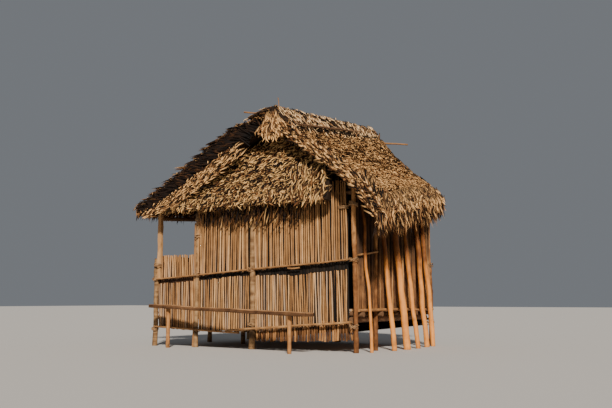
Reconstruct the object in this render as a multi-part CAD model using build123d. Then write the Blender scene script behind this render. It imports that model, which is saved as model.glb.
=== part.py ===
from build123d import *
import os
from math import hypot, sqrt

os.makedirs("parts", exist_ok=True)

# A raised stem-walled hut with a side veranda and a half-hipped thatch roof, in millimetres.
# It is laid out from the front right corner post: X runs left to right along the front gable,
# Y runs from the front wall to the back wall, Z is up. At the end every piece is moved so that
# the middle of the whole footprint, on the ground, is the origin.

# Plan
room_width = 2260
veranda_depth = 690
room_length = 2080
middle_post_inset = 1410
right_wall_post_y = 530
door_start = 1010
side_post_y = 1140
door_width = 640

# Posts
log_sides = 12
corner_radius = 34
middle_radius = 36
inner_radius = 27
outer_radius = 30
door_post_radius = 26
wall_post_radius = 33
post_lean = 22
post_head_gap = 45
stub_below_rail = 40
square_post_width = 52
square_post_start = 860
square_post_bite = 6
middle_head_drop = 40
stick_radius = 17
stick_height = 1560

# Stem panels
stem_pitch = 37
stem_thickness = 34
stem_relief = 12
skirting_thickness = 26
rail_height = 1170
corner_gap = 40
door_head = 1720

# Battens tied across the front of the posts
batten_radius = 14
mid_batten_left = 862
mid_batten_right = 1050
low_batten_left = 250
low_batten_middle = 192
low_batten_right = 344
batten_seat = 3
batten_past_corner = 45
batten_join_out = 260
batten_join_lap = 90
batten_join_lift = 24
skirting_foot = 90
skirting_rise = 40
side_rail_radius = 12
side_rail_heights = (1090, 1160)
edge_pole_radius = 17

# Floor
floor_top = 480
deck_thickness = 25
joist_radius = 28
joist_count = 5
joist_inset = 90
joist_end = 75
sill_radius = 35
seat_bite = 5
deck_overhang = 15

# Room between pieces that only touch, and the share of a piece below which a cut leaves a crumb
touch_gap = 0.3
crumb_share = 0.04

# Roof frame
purlin_radius = 12
rafter_radius = 26
plate_radius = 34
ridge_pole_radius = 36
king_post_radius = 32
tie_radius = 30
rafter_count = 4
rafter_post_gap = 20
right_rafter_out = 90
left_rafter_out = 40
right_purlins = 4
left_purlins = 6
top_lath_share = 0.06
low_lath_share = 0.97
purlin_stick_out = 45
lath_gap = 14
right_head_drop = 108

# Thatch. Heights are above the ground, and each slope falls away from the ridge.
ridge_offset = 970
ridge_swing = -50
ridge_front = 2830
ridge_rise = 170
ridge_depth = 210
front_verge = 300
back_verge = 250
left_eave_reach = 120
left_eave_height = 1795
left_eave_depth = 120
left_shoulder_out = 600
left_shoulder_drop = 150
right_eave_front = 550
right_eave_back = 150
cap_left_share = 0.55
cap_right_share = 0.8
cap_thickness = 50
cap_edge_share = 0.8
cap_shoulder_out = 90
cap_shoulder_share = 0.7
skirt_thickness = 110
skirt_foot_out = 260
skirt_top_out = 60
skirt_foot_height = 1690
skirt_top_height = 2540
skirt_left_inset = 180
skirt_right_inset = 190

# Bench in front of the wall, set askew
bench_left = (-2775, -250)
bench_right = (-250, -550)
bench_left_top = 535
bench_right_top = 448
bench_width = 150
bench_thickness = 42
bench_post_radius = 22
bench_post_inset = 285

# Leaning props outside the right wall: place along it, radius and how far out the foot stands
prop_rows = ((150, 17, 140), (605, 27, 200), (910, 38, 220), (1200, 25, 230), (1550, 28, 190), (1760, 28, 180))
prop_top = 1660
prop_seat = 4
prop_foot_swell = 1.1

inner_x = -room_width
outer_x = -(room_width + veranda_depth)
middle_x = -middle_post_inset
batten_join_x = middle_x - batten_join_out
ridge_x = -ridge_offset
back_y = room_length
front_edge = -front_verge
back_edge = room_length + back_verge
deck_bottom = floor_top - deck_thickness
joist_axis = deck_bottom - joist_radius
sill_axis = joist_axis - joist_radius - sill_radius
left_tip_x = outer_x - left_eave_reach
plank_front = min(bench_left[1], bench_right[1]) - bench_width / 2
stem_face = stem_thickness / 2 + touch_gap
centre_x = (left_tip_x + right_eave_front) / 2
centre_y = (plank_front + back_edge + purlin_stick_out) / 2
stub_height = rail_height - stub_below_rail

parts = {}


def mix(a, b, t):
    """The value a share t of the way from a to b."""
    return a + (b - a) * t


def along(y):
    """How far back y lies between the front verge and the back verge, from 0 to 1."""
    return (y - front_edge) / (back_edge - front_edge)


def pole(start, end, radius):
    """A straight round pole."""
    run = Vector(*end) - Vector(*start)
    return Solid.make_cylinder(radius, run.length, Plane(origin=start, z_dir=run))


def hewn_pole(start, end, radius, flat=(0, 0, 1), sides=12):
    """A straight many-sided pole with one flat facing the given way, to bear on what lies there."""
    run = Vector(*end) - Vector(*start)
    facing = Vector(*flat) - run * (run.dot(Vector(*flat)) / run.dot(run))
    profile = RegularPolygon(radius, sides, major_radius=False, rotation=180 / sides)
    return extrude(Plane(origin=start, x_dir=facing, z_dir=run) * profile, amount=run.length)


def log(points, radii):
    """A crooked standing log: level many-sided sections joined by straight runs, like adze work."""
    rounds = [Pos(*point) * RegularPolygon(radius, log_sides) for point, radius in zip(points, radii)]
    return loft(rounds, ruled=True)


def main_pieces(shape):
    """The shape without the crumbs that a cut leaves."""
    solids = shape.solids()
    largest = max(solid.volume for solid in solids)
    return [solid for solid in solids if solid.volume > crumb_share * largest]


def cut_by(shape, *tools):
    """The shape with the tools taken out of it, so that it seats on them face to face."""
    for tool in tools:
        shape = shape - tool
    kept = main_pieces(shape)
    return kept[0] if len(kept) == 1 else Compound(children=kept)


def longest_piece(shape):
    """The largest piece that a cut leaves."""
    return max(shape.solids(), key=lambda solid: solid.volume)


def lowest_piece(shape):
    """The piece of a cut shape whose middle lies lowest."""
    return min(main_pieces(shape), key=lambda solid: solid.center().Z)


# Thatch sections: distance out from the ridge and drop below it, ridge to eave.
right_front_top = ((0, 0), (470, 350), (780, 560), (1080, 775), (1320, 990), (1520, 1300))
right_back_top = ((0, 0), (215, 150), (470, 440), (670, 640), (920, 815), (1150, 1050))
right_front_under = ((0, 210), (1080, 930), (1440, 1365))
right_back_under = ((0, 210), (1080, 1055), (1110, 1190))


def ridge_height(y):
    """The top of the thatch on the ridge, which rises towards the back."""
    return ridge_front + ridge_rise * along(y)


def ridge_line(y):
    """The X of the ridge, which swings slightly towards the back."""
    return ridge_x + ridge_swing * along(y)


def right_line(front, back, y):
    """A line of the right slope's section at y, as points in X and Z."""
    t = along(y)
    top = ridge_height(y)
    line = []
    for (out_a, drop_a), (out_b, drop_b) in zip(front, back):
        line.append((ridge_line(y) + mix(out_a, out_b, t), top - mix(drop_a, drop_b, t)))
    return line


def left_line(y, ridge_drop, eave_drop):
    """A line of the left slope's section at y: one straight run from ridge to eave."""
    rise = ridge_rise * along(y)
    return [(ridge_line(y), ridge_height(y) - ridge_drop), (left_tip_x, left_eave_height + rise - eave_drop)]


def right_under(y):
    return right_line(right_front_under, right_back_under, y)


def left_under(y):
    return left_line(y, ridge_depth, left_eave_depth)


def height_on(line, x):
    """The height of a section line at x."""
    pairs = list(zip(line, line[1:]))
    for (xa, za), (xb, zb) in pairs:
        if min(xa, xb) <= x <= max(xa, xb):
            return mix(za, zb, (x - xa) / (xb - xa))
    (xa, za), (xb, zb) = pairs[-1]
    return mix(za, zb, (x - xa) / (xb - xa))


def underside(x, y):
    """The height of the thatch's underside above a point of the plan."""
    line = right_under(y) if x >= ridge_line(y) else left_under(y)
    return height_on(line, x)


def section(points, y):
    """A closed face in the upright plane at y."""
    wire = Polyline([(x, y, z) for x, z in points], close=True)
    return make_face(wire)


def slope_between(outline_at):
    """A slab of thatch lofted from its front section to its back section."""
    return loft([section(outline_at(front_edge), front_edge), section(outline_at(back_edge), back_edge)],
                ruled=True)


def right_outline(y):
    return right_line(right_front_top, right_back_top, y) + right_under(y)[::-1]


def left_top(y):
    """The top of the left slope's section at y, heaped up to a shoulder below the ridge."""
    ridge, eave = left_line(y, 0, 0)
    return [ridge, (ridge[0] - left_shoulder_out, ridge[1] - left_shoulder_drop), eave]


def left_outline(y):
    return left_top(y) + left_under(y)[::-1]


def cap_outline(y):
    """A saddle over the ridge that lies on the first run of both slopes."""
    right_a, right_b = right_line(right_front_top, right_back_top, y)[:2]
    left_a, left_b = left_top(y)[:2]
    right_end = (mix(right_a[0], right_b[0], cap_right_share), mix(right_a[1], right_b[1], cap_right_share))
    left_end = (mix(left_a[0], left_b[0], cap_left_share), mix(left_a[1], left_b[1], cap_left_share))
    ridge_end_x, ridge_end_z = right_a
    edge_lift = cap_thickness * cap_edge_share
    shoulder_z = ridge_end_z + cap_thickness * cap_shoulder_share
    return [left_end, right_a, right_end, (right_end[0], right_end[1] + edge_lift),
            (ridge_end_x + cap_shoulder_out, shoulder_z), (ridge_end_x, ridge_end_z + cap_thickness),
            (ridge_end_x - cap_shoulder_out, shoulder_z), (left_end[0], left_end[1] + edge_lift)]


roof_right = slope_between(right_outline)
roof_left = slope_between(left_outline)
parts["roof_slope_right"] = roof_right
parts["roof_slope_left"] = roof_left
parts["ridge_cap"] = slope_between(cap_outline)


def roof_space(depth):
    """All that lies above the thatch's underside, lowered by depth and carried on past the verges."""
    reach = skirt_foot_out + front_verge
    faces = []
    for y in (front_edge - reach, back_edge + reach):
        right = right_under(y)
        left = left_under(y)
        far_right = (right[-1][0] + reach, right[-1][1] - reach)
        far_left = (left[-1][0] - reach, left[-1][1] - reach / 2)
        line = [far_left] + left[:0:-1] + right + [far_right]
        line = [(x, z - depth) for x, z in line]
        sky = ridge_height(y) + ridge_depth
        faces.append(section(line + [(far_right[0], sky), (far_left[0], sky)], y))
    return loft(faces, ruled=True)


under_thatch = roof_space(0)


def skirt_slab(wall_y, outward):
    """The half-hip panel before it is trimmed: a slanting slab from verge to verge."""
    rise = skirt_top_height - skirt_foot_height
    run = skirt_foot_out - skirt_top_out
    lift = ridge_rise * along(wall_y)
    foot = (wall_y + outward * skirt_foot_out, skirt_foot_height + lift)
    top = (wall_y + outward * skirt_top_out, skirt_top_height + lift)
    length = hypot(rise, run)
    inward = (-outward * rise / length * skirt_thickness, -run / length * skirt_thickness)
    corners = [foot, top, (top[0] + inward[0], top[1] + inward[1]), (foot[0] + inward[0], foot[1] + inward[1])]
    left = outer_x + skirt_left_inset
    right = -skirt_right_inset
    profile = make_face(Polyline([(left, y, z) for y, z in corners], close=True))
    return extrude(profile, amount=right - left, dir=(1, 0, 0))


front_slab = skirt_slab(0, -1)
back_slab = skirt_slab(back_y, 1)
parts["front_skirt"] = lowest_piece(front_slab - under_thatch)
parts["back_skirt"] = lowest_piece(back_slab - under_thatch)


# Roof frame
def unit(a, b):
    length = hypot(b[0] - a[0], b[1] - a[1])
    return ((b[0] - a[0]) / length, (b[1] - a[1]) / length)


def hung_line(y, side, depth):
    """The first run of a slope's underside at y, moved square to itself by depth, away from the thatch."""
    line = (right_under(y) if side > 0 else left_under(y))[:2]
    dx, dz = unit(line[0], line[1])
    shift = (dz * side * depth, -dx * side * depth)
    return [(x + shift[0], z + shift[1]) for x, z in line]


purlin_depth = purlin_radius + touch_gap
rafter_depth = 2 * purlin_radius + rafter_radius + 2 * touch_gap
plate_depth = rafter_depth + rafter_radius + plate_radius + touch_gap


def purlins(side, count):
    """Laths that run from verge to verge against the thatch."""
    made = []
    ends = (front_edge - purlin_stick_out, back_edge + purlin_stick_out)
    for number in range(count):
        share = mix(top_lath_share, low_lath_share, number / (count - 1))
        places = []
        for y in ends:
            a, b = hung_line(y, side, purlin_depth)
            places.append((mix(a[0], b[0], share), y, mix(a[1], b[1], share)))
        a, b = hung_line(back_y / 2, side, purlin_depth)
        lath = hewn_pole(places[0], places[1], purlin_radius, (b[1] - a[1], 0, a[0] - b[0]), 8)
        made.append(longest_piece(lath - front_slab - back_slab))
    return made


def apex(y, depth):
    """Where the two slopes' undersides, moved by depth, meet above the ridge pole."""
    (ax, az), (bx, bz) = hung_line(y, 1, depth)
    (cx, cz), (dx, dz) = hung_line(y, -1, depth)
    right_fall = (bz - az) / (bx - ax)
    left_fall = (dz - cz) / (dx - cx)
    x = (cz - az + right_fall * ax - left_fall * cx) / (right_fall - left_fall)
    return (x, az + right_fall * (x - ax))


def rafter(y, side, low_x):
    """A rafter from the ridge down to low_x, cut upright on the ridge."""
    top_x, top_z = apex(y, rafter_depth)
    fall = unit(*hung_line(y, side, rafter_depth))
    slope = fall[1] / fall[0]
    low = (low_x, y, top_z + slope * (low_x - top_x))
    past = (top_x - side * 2 * rafter_radius, y, top_z - slope * side * 2 * rafter_radius)
    whole = pole(past, low, rafter_radius)
    ridge_plane = Plane(origin=(top_x + side * touch_gap / 2, y, 0), z_dir=(side, 0, 0))
    return split(whole, bisect_by=ridge_plane, keep=Keep.TOP)


first_rafter_y = rafter_radius + corner_radius + rafter_post_gap
rafter_rows = [mix(first_rafter_y, back_y - first_rafter_y, number / (rafter_count - 1))
               for number in range(rafter_count)]
right_low_x = right_rafter_out
left_low_x = outer_x - left_rafter_out
parts["rafters_right"] = Compound(children=[rafter(y, 1, right_low_x) for y in rafter_rows])
parts["rafters_left"] = Compound(children=[rafter(y, -1, left_low_x) for y in rafter_rows])
parts["purlins_right"] = Compound(children=purlins(1, right_purlins))
parts["purlins_left"] = Compound(children=purlins(-1, left_purlins))


def plate_height(x, y):
    """The height of a pole's axis at x, where the pole carries the rafters."""
    side = 1 if x > ridge_line(y) else -1
    a, b = hung_line(y, side, plate_depth)
    return height_on([a, b], x)


def plate(x):
    """A wall plate: a pole along the hut under the rafters, between the gable stems."""
    ends = (stem_face, back_y - stem_face)
    return pole((x, ends[0], plate_height(x, ends[0])), (x, ends[1], plate_height(x, ends[1])), plate_radius)


right_plate_x = -(corner_radius + plate_radius - seat_bite)
inner_plate_x = inner_x + inner_radius + plate_radius - seat_bite
outer_plate_x = outer_x + outer_radius + plate_radius - seat_bite
right_plate = plate(right_plate_x)
inner_plate = plate(inner_plate_x)
outer_plate = plate(outer_plate_x)


def ridge_seat(y):
    """The centre of the ridge pole where it touches the rafters of both sides."""
    x, z = apex(y, rafter_depth + rafter_radius + touch_gap)
    right = unit(*hung_line(y, 1, 0))
    left = unit(*hung_line(y, -1, 0))
    bisector = (right[0] + left[0], right[1] + left[1])
    size = hypot(*bisector)
    half_cosine = (right[0] * bisector[0] + right[1] * bisector[1]) / size
    reach = ridge_pole_radius / sqrt(1 - half_cosine ** 2)
    return (x + bisector[0] / size * reach, y, z + bisector[1] / size * reach)


ridge_pole = pole(ridge_seat(front_edge), ridge_seat(back_edge), ridge_pole_radius)
ridge_pole = longest_piece(ridge_pole - front_slab - back_slab)
parts["ridge_pole"] = ridge_pole


# Posts
def post_top(x, y):
    """A post stops short of the laths under the thatch."""
    return underside(x, y) - 2 * purlin_radius - post_head_gap


def leaning_log(x, y, top, radius, lean_x=0, knot=0, foot_swell=1.12, top_taper=0.9):
    """A post that leans by lean_x and bows by knot half way up."""
    heights = (0, top * 0.3, top * 0.62, top)
    offsets = (lean_x, lean_x * 0.6 + knot, lean_x * 0.2 - knot * 0.5, 0)
    radii = (radius * foot_swell, radius, radius * 0.97, radius * top_taper)
    return log([(x + offset, y, height) for offset, height in zip(offsets, heights)], radii)


def end_posts(name, y, lean):
    """The corner, middle and inner veranda posts of one gable wall."""
    beam_top = plate_height(middle_x, y) - middle_head_drop
    return {
        name + "_right_corner_post": leaning_log(0, y, post_top(0, y), corner_radius, lean, 9),
        name + "_middle_post": leaning_log(middle_x, y, beam_top, middle_radius, 0, 3),
        name + "_inner_veranda_post": leaning_log(inner_x, y, post_top(inner_x, y), inner_radius, -lean * 0.8, -5),
    }


def tie_beam(y):
    """A beam across the room on the inner side of the wall's posts, under the plates."""
    right_end = (-stem_face, y, plate_height(right_plate_x, y) - plate_radius - tie_radius - touch_gap)
    left_end = (inner_x + stem_face, y, right_end[2])
    return pole(left_end, right_end, tie_radius)


posts = {}
posts.update(end_posts("front", 0, post_lean))
posts.update(end_posts("back", back_y, post_lean * 0.5))
stick_x = inner_x - inner_radius - stick_radius
posts["front_veranda_stick"] = cut_by(leaning_log(stick_x, 0, stick_height, stick_radius, -post_lean * 0.8, -4),
                                      posts["front_inner_veranda_post"])
for name, slab in (("front_middle_post", front_slab), ("back_middle_post", back_slab)):
    posts[name] = lowest_piece(posts[name] - slab)
posts["right_wall_post"] = leaning_log(0, right_wall_post_y, post_top(0, right_wall_post_y), wall_post_radius, -8, 4)
stub = leaning_log(outer_x, 0, stub_height, outer_radius, -12, 3)
posts["front_outer_veranda_post"] = stub
outer_rows = (back_y, side_post_y)
outer_posts = [leaning_log(outer_x, y, post_top(outer_x, y), outer_radius, -10, 4) for y in outer_rows]

upper_x = outer_x + outer_radius + square_post_width / 2 - square_post_bite
upper_top = post_top(upper_x, 0)
upper_size = upper_top - square_post_start
upper_post = Pos(upper_x, 0, square_post_start + upper_size / 2) * Box(square_post_width, square_post_width,
                                                                     upper_size)
posts["front_outer_upper_post"] = cut_by(upper_post, stub)

door_rows = (door_start - door_post_radius, door_start + door_width + door_post_radius)
door_posts = [leaning_log(inner_x, y, plate_height(inner_plate_x, y), door_post_radius, 0, 3) for y in door_rows]

parts.update(posts)
parts["outer_veranda_posts"] = Compound(children=outer_posts)
parts["door_posts"] = Compound(children=door_posts)
all_posts = list(posts.values()) + outer_posts + door_posts

# The plates and beams seat against the posts
plates = [cut_by(plate, *all_posts) for plate in (right_plate, inner_plate, outer_plate)]
parts["wall_plates"] = Compound(children=plates)


# Walls
def stem_panel(length, height, outside=-1, thickness=stem_thickness):
    """Split stems side by side, half a hexagon outside and flat inside, from x = 0 and z = 0."""
    count = max(1, round(length / stem_pitch))
    pitch = length / count
    crest = outside * thickness / 2
    valley = crest - outside * stem_relief
    line = [(0, -crest), (0, valley)]
    for number in range(count):
        start = number * pitch
        line += [(start + pitch * 0.25, crest), (start + pitch * 0.75, crest), (start + pitch, valley)]
    line.append((length, -crest))
    return extrude(make_face(Polyline(line, close=True)), amount=height)


def wall_along_x(x_from, x_to, y, low_from, low_to, high, thickness=stem_thickness):
    """A panel along the front or back, whose foot slopes from low_from to low_to."""
    low = min(low_from, low_to) - 1
    outside = -1 if y < back_y / 2 else 1
    panel = Pos(x_from, y, low) * stem_panel(x_to - x_from, high - low, outside, thickness)
    foot = Plane(origin=(x_from, y, low_from), x_dir=(x_to - x_from, 0, low_to - low_from), z_dir=(
        -(low_to - low_from), 0, x_to - x_from))
    return split(panel, bisect_by=foot, keep=Keep.TOP)


def wall_along_y(y_from, y_to, x, low, high_from, high_to):
    """A panel along the hut, whose top slopes from high_from to high_to."""
    high = max(high_from, high_to) + 1
    outside = 1 if x < ridge_x else -1
    panel = Pos(x, y_from, low) * Rot(0, 0, 90) * stem_panel(y_to - y_from, high - low, outside)
    head = Plane(origin=(x, y_from, high_from), x_dir=(0, y_to - y_from, high_to - high_from), z_dir=(
        0, -(high_to - high_from), y_to - y_from))
    return split(panel, bisect_by=head, keep=Keep.BOTTOM)


def batten_height(x):
    """The height of the middle batten, which climbs to the right."""
    return mix(mid_batten_left, mid_batten_right, (x - outer_x) / -outer_x)


def low_height(x):
    """The height of the two lower battens that meet left of the middle post."""
    if x < batten_join_x:
        return mix(low_batten_left, low_batten_middle, (x - outer_x) / (batten_join_x - outer_x))
    return mix(low_batten_middle, low_batten_right, (x - batten_join_x) / -batten_join_x)


def lath_space(wall_y):
    """What lies above the underside of the laths over a gable wall."""
    under = left_under(wall_y)[::-1] + right_under(wall_y)[1:]
    depth = 2 * purlin_radius + lath_gap
    line = [(x, z - depth) for x, z in under]
    sky = ridge_height(wall_y)
    outline = section(line + [(line[-1][0], sky), (line[0][0], sky)], wall_y)
    return extrude(outline, amount=stem_thickness, dir=(0, 1, 0), both=True)


back_face = back_y - stem_face
for name, y in (("front", 0), ("back", back_y)):
    wall_head = plate_height(inner_plate_x, y)
    left = wall_along_x(inner_x, middle_x, y, low_height(inner_x) - batten_radius, low_height(middle_x) - batten_radius,
                        wall_head)
    right_end = -corner_radius - corner_gap
    right = wall_along_x(middle_x, right_end, y, low_height(middle_x) - batten_radius,
                         low_height(right_end) - batten_radius, wall_head)
    rail = wall_along_x(outer_x, inner_x, y, low_height(outer_x) - batten_radius, low_height(inner_x) - batten_radius,
                        rail_height)
    over_stub = Pos(outer_x, y, rail_height) * Box(2 * (upper_x - outer_x), corner_radius * 2, 4 * stub_below_rail)
    laths = lath_space(y)
    parts[name + "_wall_left_stems"] = cut_by(left, laths, *all_posts)
    parts[name + "_wall_right_stems"] = cut_by(right, laths, *all_posts)
    parts[name + "_veranda_rail"] = cut_by(rail, over_stub, *all_posts)


def right_panel(y_from, y_to):
    """Stems from the deck's edge up to just under the rafters' tails."""
    heads = [underside(0, y) - right_head_drop for y in (y_from, y_to)]
    return cut_by(wall_along_y(y_from, y_to, 0, floor_top, heads[0], heads[1]), *all_posts)


parts["right_wall_front_stems"] = right_panel(stem_face, right_wall_post_y)
parts["right_wall_back_stems"] = right_panel(right_wall_post_y, back_face)


def inner_panel(y_from, y_to, low):
    heads = [plate_height(inner_plate_x, y) for y in (y_from, y_to)]
    return cut_by(wall_along_y(y_from, y_to, inner_x, low, heads[0], heads[1]), *all_posts)


parts["inner_wall_front_stems"] = inner_panel(stem_face, door_rows[0], floor_top)
parts["inner_wall_back_stems"] = inner_panel(door_rows[1], back_face, floor_top)
parts["inner_wall_over_door"] = inner_panel(door_rows[0], door_rows[1], door_head)
parts["side_veranda_rail"] = cut_by(
    wall_along_y(stem_face, side_post_y, outer_x, floor_top, rail_height, rail_height), *all_posts)

# Skirting stems behind the lower batten, right of the middle post
skirting_y = stem_thickness / 2 + skirting_thickness / 2 + touch_gap
skirting = wall_along_x(middle_x, 0, skirting_y, skirting_foot, skirting_foot + skirting_rise,
                        low_batten_right + batten_radius, skirting_thickness)


# Battens
def batten(x_from, z_from, x_to, z_to, y):
    return hewn_pole((x_from, y, z_from), (x_to, y, z_to), batten_radius, sides=8)


def battens(name, wall_y, outward):
    front = wall_y + outward * (inner_radius + batten_radius - batten_seat)
    ends = (outer_x - batten_past_corner, -corner_radius / 2)
    middle = batten(ends[0], batten_height(ends[0]), ends[1], batten_height(ends[1]), front)
    lap = (batten_join_x - batten_join_lap, batten_join_x + batten_join_lap)
    left = batten(outer_x, low_height(outer_x), lap[1], low_batten_middle, front)
    right = batten(lap[0], low_batten_middle + batten_join_lift, ends[1], low_height(ends[1]), front)
    parts[name + "_battens"] = Compound(children=[cut_by(piece, *all_posts) for piece in (middle, left, right)])


battens("front", 0, -1)
battens("back", back_y, 1)

# Floor: sills along the hut, joists across them and a deck of flattened stems
sill_rows = (-(corner_radius + sill_radius - seat_bite), inner_x + inner_radius + sill_radius - seat_bite,
             outer_x + outer_radius + sill_radius - seat_bite)
sills = [cut_by(hewn_pole((x, stem_face, sill_axis), (x, back_face, sill_axis), sill_radius), *all_posts)
         for x in sill_rows]
parts["floor_sills"] = Compound(children=sills)
parts["front_skirting_stems"] = cut_by(skirting, *all_posts, *sills)
deck_left = outer_x - deck_overhang
joist_rows = [mix(joist_inset, back_y - joist_inset, number / (joist_count - 1)) for number in range(joist_count)]
joists = [hewn_pole((deck_left, y, joist_axis), (joist_end, y, joist_axis), joist_radius) for y in joist_rows]
parts["floor_joists"] = Compound(children=[cut_by(joist, *all_posts) for joist in joists])
deck_length = back_y - 2 * stem_face
deck_right = stem_thickness / 2 + deck_overhang
deck = Pos((deck_left + deck_right) / 2, back_y / 2, floor_top - deck_thickness / 2) * Box(
    deck_right - deck_left, deck_length, deck_thickness)
parts["floor_deck"] = cut_by(deck, *all_posts)
edge_x = deck_right + edge_pole_radius + touch_gap
edge_pole = hewn_pole((edge_x, stem_face, deck_bottom + edge_pole_radius),
                      (edge_x, back_face, deck_bottom + edge_pole_radius), edge_pole_radius)
parts["right_edge_pole"] = cut_by(edge_pole, *all_posts)
side_rail_x = stem_thickness / 2 + side_rail_radius + touch_gap
side_rail = hewn_pole((side_rail_x, 0, side_rail_heights[0]), (side_rail_x, right_wall_post_y, side_rail_heights[1]),
                      side_rail_radius, sides=8)
parts["right_wall_rail"] = cut_by(side_rail, *all_posts)

# Tie beams, king posts and the ridge pole
tie_rows = (stem_face + tie_radius, back_face - tie_radius)
ties = [cut_by(tie_beam(y), *all_posts) for y in tie_rows]
parts["tie_beams"] = Compound(children=ties)
kings = []
for y, tie in zip(tie_rows, ties):
    seat = ridge_seat(y)
    king = pole((seat[0], y, tie.center().Z), (seat[0], y, seat[2]), king_post_radius)
    kings.append(cut_by(king, tie, ridge_pole, front_slab, back_slab))
parts["king_posts"] = Compound(children=kings)

# Props lean on the wall from outside and are notched to its stems
props = []
for y, radius, foot_out in prop_rows:
    top_x = stem_thickness / 2 + radius - prop_seat
    prop = log([(foot_out, y, 0), (top_x, y, prop_top)], (radius * prop_foot_swell, radius))
    props.append(cut_by(prop, parts["right_wall_front_stems"], parts["right_wall_back_stems"]))
parts["right_wall_props"] = Compound(children=props)

# Bench
plank_run = (bench_right[0] - bench_left[0], bench_right[1] - bench_left[1], bench_right_top - bench_left_top)
plank_direction = Vector(*plank_run)
plank_plane = Plane(origin=((bench_left[0] + bench_right[0]) / 2, (bench_left[1] + bench_right[1]) / 2,
                            (bench_left_top + bench_right_top - bench_thickness) / 2),
                    x_dir=plank_direction, z_dir=plank_direction.cross(Vector(plank_run[1], -plank_run[0], 0)))
plank = plank_plane * Box(plank_direction.length, bench_width, bench_thickness)
parts["bench_plank"] = plank
bench_posts = []
for share in (bench_post_inset / plank_direction.length, 1 - bench_post_inset / plank_direction.length):
    x = mix(bench_left[0], bench_right[0], share)
    y = mix(bench_left[1], bench_right[1], share)
    top = mix(bench_left_top, bench_right_top, share) - bench_thickness / 2
    whole = log([(x, y, 0), (x, y, top)], (bench_post_radius * 1.1, bench_post_radius))
    bench_posts.append(lowest_piece(whole - plank))
parts["bench_posts"] = Compound(children=bench_posts)

to_origin = Location((-centre_x, -centre_y, 0))
for name, shape in parts.items():
    export_step(shape.moved(to_origin), "parts/%s.step" % name)
print("moved by", -centre_x, -centre_y)
print(len(parts), "nodes")
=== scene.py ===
import bmesh
import bpy
import math
import numpy as np
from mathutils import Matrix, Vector
from mathutils.bvhtree import BVHTree


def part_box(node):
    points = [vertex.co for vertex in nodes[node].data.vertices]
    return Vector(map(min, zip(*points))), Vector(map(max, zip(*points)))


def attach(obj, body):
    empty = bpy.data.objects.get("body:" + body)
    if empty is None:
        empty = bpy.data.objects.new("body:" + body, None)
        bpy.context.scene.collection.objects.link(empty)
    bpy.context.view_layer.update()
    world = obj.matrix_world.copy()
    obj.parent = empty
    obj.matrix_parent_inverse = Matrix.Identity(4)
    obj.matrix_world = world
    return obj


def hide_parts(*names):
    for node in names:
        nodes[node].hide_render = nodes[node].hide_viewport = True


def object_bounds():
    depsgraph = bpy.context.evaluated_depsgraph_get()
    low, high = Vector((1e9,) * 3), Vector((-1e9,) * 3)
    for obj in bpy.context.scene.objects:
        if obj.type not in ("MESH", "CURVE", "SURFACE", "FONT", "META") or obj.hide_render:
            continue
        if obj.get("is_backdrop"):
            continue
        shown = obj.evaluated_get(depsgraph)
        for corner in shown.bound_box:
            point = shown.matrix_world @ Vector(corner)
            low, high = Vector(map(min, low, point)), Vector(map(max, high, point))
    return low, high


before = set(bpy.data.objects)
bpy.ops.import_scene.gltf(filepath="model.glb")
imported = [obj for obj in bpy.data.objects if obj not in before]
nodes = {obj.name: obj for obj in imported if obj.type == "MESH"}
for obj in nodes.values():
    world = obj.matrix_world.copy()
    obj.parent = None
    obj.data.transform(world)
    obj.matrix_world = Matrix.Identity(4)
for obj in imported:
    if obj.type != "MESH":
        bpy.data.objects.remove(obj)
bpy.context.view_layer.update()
rng = np.random.default_rng(11)

# The hut is laid out from the foot of its front right corner log, as in part.py, in metres.
ORIGIN = np.array([1.260, -0.875, 0.0])
BACK_Y = 2.08
MIDDLE_X, INNER_X, OUTER_X = -1.41, -2.26, -2.95  # the posts left of the corner log
BATTEN_LEFT, BATTEN_RIGHT = 0.862, 1.050  # heights of the middle batten's two ends
VERGE_ENDS = (-1.245, 1.525)  # the shared frame's y that no leaf passes, front and back
GABLET = (ORIGIN[0] - 1.14, 2.535)  # the shared frame's x and z of the hole in the gable
GABLES = (("front", -1), ("back", 1))  # each with the sign of y outward
ALONG_X, ALONG_Y, UP = np.eye(3)
DOWN = np.array([0.0, 0.0, -1.0])
SEAM = 1e-5  # mesh points nearer than this are one
GRAIN_RANGE = 50  # each strand's grain map starts at random within this
STEM_SIDES = 7
STEM_SWAY = 0.007  # the most that a stem leans each way
INNER_PITCH, INNER_FILL, INNER_SHIFT = 0.045, (0.58, 0.62), 0.034  # the rows of stems behind the gable walls
END_MARK = 0.3  # how dark the sawn ends of poles are
VERGE_GAP = 0.25  # what the verges leave free below the ridge


def hut(x, y, z):
    """A point of the hut's own plan in the shared frame."""
    return np.array([x, y, z], float) + ORIGIN


def unit(v):
    v = np.asarray(v, float)
    return v / np.maximum(np.linalg.norm(v, axis=-1, keepdims=True), 1e-9)


def distances(path):
    """How far along a path each of its points lies."""
    return np.concatenate([[0], np.cumsum(np.linalg.norm(np.diff(path, axis=0), axis=1))])


def linked(name, data):
    """A new object of the scene."""
    made = bpy.data.objects.new(name, data)
    bpy.context.scene.collection.objects.link(made)
    return made


# Mesh building

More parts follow.
